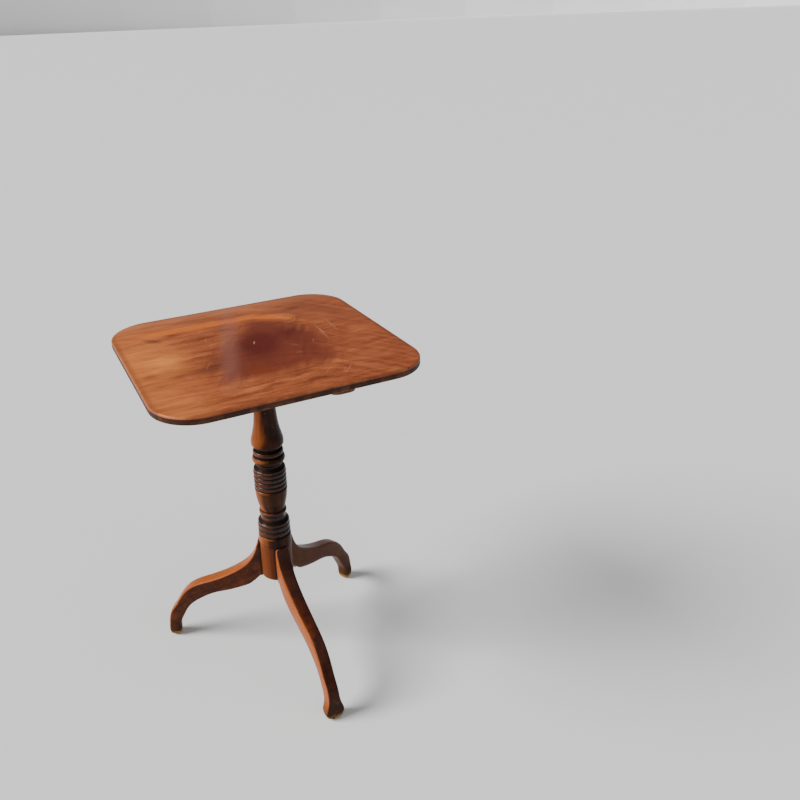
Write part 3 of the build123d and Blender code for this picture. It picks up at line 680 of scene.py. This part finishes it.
def note_curvature(piece, passes=2):
    """Writes on every vertex how sharply it bends, per millimetre: ridges above 0, hollows below."""
    mesh = bmesh.new()
    mesh.from_mesh(piece.data)
    bend = np.zeros(len(mesh.verts))
    area = np.full(len(mesh.verts), 1e-12)
    for face in mesh.faces:
        share = face.calc_area() / len(face.verts)
        for vertex in face.verts:
            area[vertex.index] += share
    ends = []
    for edge in mesh.edges:
        a, b = edge.verts[0].index, edge.verts[1].index
        ends.append((a, b))
        if len(edge.link_faces) == 2:
            turn = edge.calc_face_angle_signed(0.0) * edge.calc_length()
            bend[a] += turn
            bend[b] += turn
    mesh.free()
    value = np.clip(bend / (4 * area) * MM, -1.5, 1.5)
    ends = np.array(ends)
    for _ in range(passes):
        total = value.copy()
        count = np.ones(len(value))
        np.add.at(total, ends[:, 0], value[ends[:, 1]])
        np.add.at(total, ends[:, 1], value[ends[:, 0]])
        np.add.at(count, ends[:, 0], 1)
        np.add.at(count, ends[:, 1], 1)
        value = total / count
    layer = piece.data.attributes.new("curve", "FLOAT", "POINT")
    layer.data.foreach_set("value", value.astype(np.float32))


def finish_piece(piece, body, material, slot, *stands_for, passes=2):
    """Gives a piece its material and its body, and hides the CAD nodes that it stands for."""
    note_curvature(piece, passes)
    piece.data.materials.clear()
    piece.data.materials.append(material)
    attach(piece, body)
    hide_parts(*stands_for)
    return piece


def solid_of(node):
    """The surface of a CAD node, for measuring by rays."""
    data = NODES[node].data
    places = [v.co.copy() for v in data.vertices]
    return BVHTree.FromPolygons(places, [tuple(p.vertices) for p in data.polygons])


def softened(node, name, arris, segments=2, angle=32):
    """A copy of a CAD piece with its sharp arrises rounded over."""
    nothing_selected()
    piece = bpy.data.objects.new(name, NODES[node].data.copy())
    bpy.context.scene.collection.objects.link(piece)
    open_piece(piece)
    bpy.ops.mesh.select_all(action="SELECT")
    bpy.ops.mesh.remove_doubles(threshold=WELD)
    bpy.ops.mesh.dissolve_limited(angle_limit=math.radians(0.4))
    close_piece(piece, name)
    apply_modifier(
        piece, "BEVEL", width=arris * MM, segments=segments, limit_method="ANGLE",
        angle_limit=math.radians(angle), use_clamp_overlap=True, harden_normals=False,
    )
    frame_flats(piece, 120, arris)
    return close_piece(piece, name)


def frame_flats(piece, least_area, margin):
    """Insets the large flat faces, so that what is noted at the arrises stays there."""
    mesh = open_piece(piece)
    pick(mesh, "faces", lambda face: face.calc_area() > least_area * MM**2)
    bpy.ops.mesh.inset(thickness=margin * MM, use_individual=True, use_even_offset=True)
    nothing_selected()


# ---------------------------------------------------------------- pillar


def profile_of(node, centre, sight, step=0.25, tolerance=0.02, longest=9.0):
    """Heights and radii of a round piece, read off its solid and thinned to the points that matter."""
    solid = solid_of(node)
    low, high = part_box(node)
    direction = Vector((math.cos(sight), math.sin(sight), 0))
    count = int((high.z - low.z) / (step * MM))
    readings = []
    for i in range(count + 1):
        z = low.z + (high.z - low.z) * min(max(i / count, 0.0002), 0.9998)
        level = centre + Vector((0, 0, z))
        hit = solid.ray_cast(level + direction * 0.1, -direction)[0]
        if hit is not None:
            readings.append((z / MM, (hit - level).length / MM))

    def thin(first, last):
        (z0, r0), (z1, r1) = readings[first], readings[last]
        worst, at = 0.0, None
        for k in range(first + 1, last):
            z, r = readings[k]
            off = abs(r - (r0 + (r1 - r0) * (z - z0) / (z1 - z0)))
            if off > worst:
                worst, at = off, k
        if at is None or (worst < tolerance and z1 - z0 < longest):
            return [readings[first]]
        if worst < tolerance:
            at = (first + last) // 2
        return thin(first, at) + thin(at, last)

    return thin(0, len(readings) - 1) + [readings[-1]]


def turned(node, name, sight, sides=96, smooth_angle=32):
    """Turned work, drawn up from a ring: each station of the profile is one extrusion and one scaling."""
    low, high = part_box(node)
    centre = Vector(((low.x + high.x) / 2, (low.y + high.y) / 2, 0))
    stations = profile_of(node, centre, sight)
    z, radius = stations[0]
    nothing_selected()
    bpy.ops.mesh.primitive_circle_add(
        vertices=sides, radius=radius * MM, fill_type="NGON", location=(centre.x, centre.y, z * MM)
    )
    piece = bpy.context.object
    open_piece(piece)
    bpy.ops.mesh.select_mode(type="FACE")
    bpy.ops.mesh.select_all(action="SELECT")
    for next_z, next_radius in stations[1:]:
        bpy.ops.mesh.extrude_region_move(
            TRANSFORM_OT_translate={"value": (0, 0, (next_z - z) * MM)}
        )
        bpy.ops.transform.resize(
            value=(next_radius / radius, next_radius / radius, 1),
            center_override=(centre.x, centre.y, next_z * MM),
        )
        z, radius = next_z, next_radius
    bpy.ops.mesh.select_all(action="SELECT")
    bpy.ops.mesh.normals_make_consistent(inside=False)
    close_piece(piece, name, smooth_angle)
    note_depth(piece, stations)
    return piece


def note_depth(piece, stations, reach=3.6):
    """Writes on every vertex how far it lies below the highest beads within reach of it, in millimetres."""
    heights = np.array([z for z, _ in stations])
    radii = np.array([r for _, r in stations])
    offsets = np.linspace(-reach, reach, 25)
    places = np.array([v.co.z / MM for v in piece.data.vertices])
    nearby = np.interp(places[:, None] + offsets, heights, radii) - (reach - np.sqrt(reach**2 - offsets**2))
    depth = nearby.max(axis=1) - np.interp(places, heights, radii)
    layer = piece.data.attributes.new("depth", "FLOAT", "POINT")
    layer.data.foreach_set("value", depth.astype(np.float32))


# ---------------------------------------------------------------- legs

# sections of a leg: distance out from the pillar's face as a share of the span, height in millimetres,
# how far the section leans outwards in degrees, and how far its four corners are eased in millimetres
LEG_SECTIONS = (
    (-0.040, 210, 0, 1.6), (0.004, 205, 0, 1.6), (0.0150, 200, 0, 1.6), (0.0190, 196, 1, 1.6),
    (0.0255, 192, 3, 1.7), (0.0350, 190, 6, 1.8), (0.0485, 188, 11, 1.8), (0.071, 184, 17, 1.8),
    (0.106, 180, 22, 1.8), (0.155, 175, 25, 1.8), (0.217, 169, 26, 1.8), (0.288, 162, 25, 1.8),
    (0.367, 154, 22, 1.8), (0.451, 147, 20, 1.8), (0.535, 139.5, 21, 1.8), (0.611, 131, 26, 1.8),
    (0.681, 120.5, 34, 1.8), (0.743, 108, 43, 1.8), (0.796, 94, 52, 1.8), (0.841, 79, 60, 1.8),
    (0.876, 63, 68, 1.8), (0.903, 50, 74, 1.8), (0.924, 40, 80, 2.0), (0.936, 32, 85, 2.4),
    (0.944, 26, 88, 2.8), (0.947, 21, 90, 3.2), (0.947, 15, 90, 3.8), (0.947, 9.5, 90, 4.2),
    (0.947, 5, 90, 4.4), (0.947, 2.2, 90, 4.4), (0.947, 0.02, 90, 4.4),
)
PILLAR_FACE = 34 * MM
SOLE_EASING = {0: 1.8, 1: 0.3}


def leg_corners(node):
    """The eight corners of each section of a leg, read off its solid, and the way that it points."""
    solid = solid_of(node)
    toes = [v.co for v in NODES[node].data.vertices if v.co.z < 3 * MM]
    middle = sum(toes, Vector()) / len(toes)
    outwards = Vector((middle.x - AXIS.x, middle.y - AXIS.y, 0)).normalized()
    across = Vector((-outwards.y, outwards.x, 0))
    span = max((v.co - AXIS).dot(outwards) for v in NODES[node].data.vertices) - PILLAR_FACE
    sections = []
    for share, height, lean, easing in LEG_SECTIONS:
        # a section inside the pillar is the shoulder's own, carried straight in
        carried = outwards * min(share - 0.012, 0) * span
        centre = AXIS + outwards * (PILLAR_FACE + share * span) + Vector((0, 0, height * MM)) - carried
        up = outwards * math.sin(math.radians(lean)) + Vector((0, 0, math.cos(math.radians(lean))))
        # near the pillar the readings are taken beside the screw's hole
        beside_screw = across * 9 * MM if share < 0.1 else Vector()
        upper = solid.ray_cast(centre + beside_screw, up)[0]
        lower = solid.ray_cast(centre + beside_screw, -up)[0]
        heart = (upper + lower) / 2 - beside_screw
        width = sum((solid.ray_cast(heart, side)[0] - heart).length for side in (across, -across)) / 2
        tall = (upper - lower).length / 2
        inset = SOLE_EASING.get(len(LEG_SECTIONS) - 1 - len(sections), 0) * MM
        width, tall, cut = width - inset, tall - inset, easing * MM
        sections.append([
            heart + carried + across * a * width_share + up * b * tall_share
            for a, b, width_share, tall_share in (
                (1, 1, width, tall - cut), (1, 1, width - cut, tall), (-1, 1, width - cut, tall),
                (-1, 1, width, tall - cut), (-1, -1, width, tall - cut), (-1, -1, width - cut, tall),
                (1, -1, width - cut, tall), (1, -1, width, tall - cut),
            )
        ])
    return sections, math.atan2(outwards.y, outwards.x)


def move_corners(mesh, verts, places):
    """Moves each vertex of the end section to its place."""
    for vertex, place in zip(verts, places):
        pick(mesh, "verts", lambda v: v == vertex)
        bpy.ops.transform.translate(value=place - vertex.co)


def build_leg(node, name):
    """A leg, drawn out section by section from the shoulder to the toe."""
    sections, heading = leg_corners(node)
    nothing_selected()
    bpy.ops.mesh.primitive_circle_add(vertices=8, radius=15 * MM, fill_type="NGON", location=(0, 0, 0))
    piece = bpy.context.object
    mesh = open_piece(piece)
    end = next(iter(mesh.faces))
    ring = list(end.verts)
    move_corners(mesh, ring, sections[0])
    for places in sections[1:]:
        pick(mesh, "faces", lambda face: face == end)
        step = sum(places, Vector()) / 8 - sum((v.co for v in ring), Vector()) / 8
        bpy.ops.mesh.extrude_region_move(TRANSFORM_OT_translate={"value": step})
        mesh = bmesh.from_edit_mesh(piece.data)
        end = next(face for face in mesh.faces if face.select)
        ring = match_corners(end.verts, places)
        move_corners(mesh, ring, places)
    bpy.ops.mesh.select_all(action="SELECT")
    bpy.ops.mesh.normals_make_consistent(inside=False)
    nothing_selected()
    apply_modifier(piece, "SUBSURF", levels=2, render_levels=2)
    return close_piece(piece, name, 60), heading


def match_corners(verts, places):
    """The end section's vertices in the order of the next section's corners."""
    verts = list(verts)
    runs = [way[k:] + way[:k] for way in (verts, verts[::-1]) for k in range(len(verts))]
    return min(runs, key=lambda run: sum((v.co - place).length for v, place in zip(run, places)))


# ---------------------------------------------------------------- board


def build_board(node, name):
    """The top: a block with its corners rounded in plan and its two rims eased."""
    low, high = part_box(node)
    size = high - low
    nothing_selected()
    bpy.ops.mesh.primitive_cube_add(size=1, location=(low + high) / 2, scale=size)
    piece = bpy.context.object
    bpy.ops.object.transform_apply(location=True, rotation=True, scale=True)
    mesh = open_piece(piece)
    pick(mesh, "edges", lambda edge: abs(edge.verts[0].co.z - edge.verts[1].co.z) > size.z / 2)
    bpy.ops.mesh.bevel(offset=CORNER_RADIUS, segments=24, affect="EDGES")
    for rim, radius, segments in ((high.z, 3.0, 5), (low.z, 1.5, 3)):
        mesh = bmesh.from_edit_mesh(piece.data)
        pick(mesh, "edges", lambda edge: all(abs(v.co.z - rim) < 0.1 * MM for v in edge.verts))
        bpy.ops.mesh.bevel(offset=radius * MM, segments=segments, affect="EDGES")
    nothing_selected()
    frame_flats(piece, 20000, 6)
    return close_piece(piece, name)


# ---------------------------------------------------------------- fittings


def clean_copy(node, name, smooth_angle=30):
    """A merged copy of small CAD work such as screws, so that its rounds shade smoothly."""
    nothing_selected()
    piece = bpy.data.objects.new(name, NODES[node].data.copy())
    bpy.context.scene.collection.objects.link(piece)
    open_piece(piece)
    bpy.ops.mesh.select_all(action="SELECT")
    bpy.ops.mesh.remove_doubles(threshold=WELD)
    return close_piece(piece, name, smooth_angle)


def wind_spring(name, wire=0.9, radius=3.6, turns=6):
    """The catch's spring: a ring of wire wound along Y by a screw modifier."""
    low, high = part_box("catch_spring")
    middle = (low + high) / 2
    length = (high.y - low.y) - wire * MM
    nothing_selected()
    bpy.ops.mesh.primitive_circle_add(
        vertices=12, radius=wire / 2 * MM, fill_type="NOTHING",
        location=(middle.x + radius * MM, low.y + wire / 2 * MM, middle.z),
    )
    piece = bpy.context.object
    bpy.context.scene.cursor.location = (middle.x, low.y + wire / 2 * MM, middle.z)
    nothing_selected()
    piece.select_set(True)
    bpy.context.view_layer.objects.active = piece
    bpy.ops.object.origin_set(type="ORIGIN_CURSOR")
    apply_modifier(
        piece, "SCREW", axis="Y", angle=math.radians(360), screw_offset=length / turns,
        iterations=turns, steps=28, render_steps=28, use_merge_vertices=False,
    )
    mesh = open_piece(piece)
    pick(mesh, "edges", lambda edge: len(edge.link_faces) == 1)
    bpy.ops.mesh.edge_face_add()
    bpy.ops.mesh.select_all(action="SELECT")
    bpy.ops.mesh.normals_make_consistent(inside=False)
    bpy.context.scene.cursor.location = (0, 0, 0)
    return close_piece(piece, name, 60)


# ---------------------------------------------------------------- stage


def plain_finish(name, colour, roughness):
    f = Finish(name)
    spot = f.place()
    cloud = f.noise(spot, 0.004, 3)
    return f.shade(f.mix(cloud, colour, tuple(c * 0.97 for c in colour)), roughness)


def build_stage():
    """A pale floor, a far wall and soft lights, the strongest from the left."""
    nothing_selected()
    bpy.ops.mesh.primitive_plane_add(size=400, location=(0, 0, 0))
    floor = bpy.context.object
    floor.name = "floor"
    floor.data.materials.append(plain_finish("pale_floor", (0.88, 0.88, 0.875), 0.9))
    wall_height = 14
    bpy.ops.mesh.primitive_cylinder_add(
        vertices=64, radius=190, depth=wall_height, end_fill_type="NOTHING",
        location=(0, 0, wall_height / 2),
    )
    wall = bpy.context.object
    wall.name = "far_wall"
    open_piece(wall)
    bpy.ops.mesh.select_all(action="SELECT")
    bpy.ops.mesh.normals_make_consistent(inside=True)
    nothing_selected()
    wall.data.materials.append(plain_finish("pale_wall", (0.90, 0.90, 0.895), 0.9))
    for name, azimuth, elevation, breadth, strength in (
        ("key", 165, 37, 28, 4.7),
        ("fill", -80, 55, 70, 0.55),
    ):
        bpy.ops.object.light_add(type="SUN", location=(0, 0, 3))
        light = bpy.context.object
        light.name = name
        light.data.angle = math.radians(breadth)
        light.data.energy = strength
        flat = math.cos(math.radians(elevation))
        towards = Vector((
            flat * math.cos(math.radians(azimuth)), flat * math.sin(math.radians(azimuth)),
            math.sin(math.radians(elevation)),
        ))
        light.rotation_euler = towards.to_track_quat("Z", "Y").to_euler()
    world = bpy.data.worlds.new("studio")
    bpy.context.scene.world = world
    world.use_nodes = True
    world.node_tree.nodes["Background"].inputs["Color"].default_value = (0.96, 0.98, 1.0, 1)
    world.node_tree.nodes["Background"].inputs["Strength"].default_value = 0.2


def build_camera():
    """A standing person's view, from the front and a little to the left."""
    place = AXIS + Vector((-0.41353, -1.25594, 1.24769))
    heading, pitch, roll = 0.41423, 0.46330, -0.03978
    data = bpy.data.cameras.new("camera")
    data.sensor_width = 36
    data.lens = 34.55
    data.shift_x = 0.0872
    camera = bpy.data.objects.new("camera", data)
    bpy.context.scene.collection.objects.link(camera)
    camera.matrix_world = (
        Matrix.Translation(place)
        @ Matrix.Rotation(-heading, 4, "Z")
        @ Matrix.Rotation(math.pi / 2 - pitch, 4, "X")
        @ Matrix.Rotation(roll, 4, "Z")
    )
    bpy.context.scene.camera = camera


# ---------------------------------------------------------------- the table

build_stage()
build_camera()

brass = brass_finish()
steel = steel_finish()
iron = iron_finish()
turning = turning_finish()
bearer_wood = underside_finish("bearer_wood", "y", (0.040, 0.014, 0.007), (0.150, 0.058, 0.026), 3)
block_wood = underside_finish("block_wood", "x", (0.060, 0.022, 0.010), (0.210, 0.090, 0.040), 9)

pillar = turned("pillar", "turned_pillar", math.radians(75))
finish_piece(pillar, STAND, turning, "turned_mahogany", "pillar")
board = build_board("table_top", "polished_board")
finish_piece(board, TOP, board_finish(), "top_mahogany", "table_top")

for number, node in enumerate(LEG_NODES):
    leg, heading = build_leg(node, f"sawn_{node}")
    finish_piece(leg, STAND, leg_finish(node, heading, number), "leg_mahogany", node, passes=1)

for node, arris, body, material, slot in (
    ("bearer_left", 1.6, TOP, bearer_wood, "bearer_wood"),
    ("bearer_right", 1.6, TOP, bearer_wood, "bearer_wood"),
    ("top_block", 1.2, STAND, block_wood, "block_wood"),
    ("tenon_wedge", 0.2, STAND, block_wood, "block_wood"),
    ("spider_plate", 0.4, STAND, iron, "iron"),
    ("strike_plate", 0.25, STAND, brass, "brass"),
    ("catch_plate", 0.25, TOP, brass, "brass"),
    ("catch_case", 0.3, TOP, brass, "brass"),
    ("catch_bolt", 0.3, BOLT, brass, "brass"),
):
    finish_piece(softened(node, f"fitted_{node}", arris), body, material, slot, node)

for node, body, material, slot in (
    ("spider_plate_screws", STAND, steel, "steel"),
    ("strike_screws", STAND, brass, "brass"),
    ("bearer_screws", TOP, steel, "steel"),
    ("catch_screws", TOP, brass, "brass"),
):
    finish_piece(clean_copy(node, f"driven_{node}"), body, material, slot, node)

knob = turned("catch_knob", "turned_catch_knob", math.radians(75), 64, 40)
finish_piece(knob, BOLT, brass, "brass", "catch_knob")

spring = wind_spring("wound_catch_spring")
note_curvature(spring)
spring.data.materials.append(steel)
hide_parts("catch_spring")
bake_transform(spring)
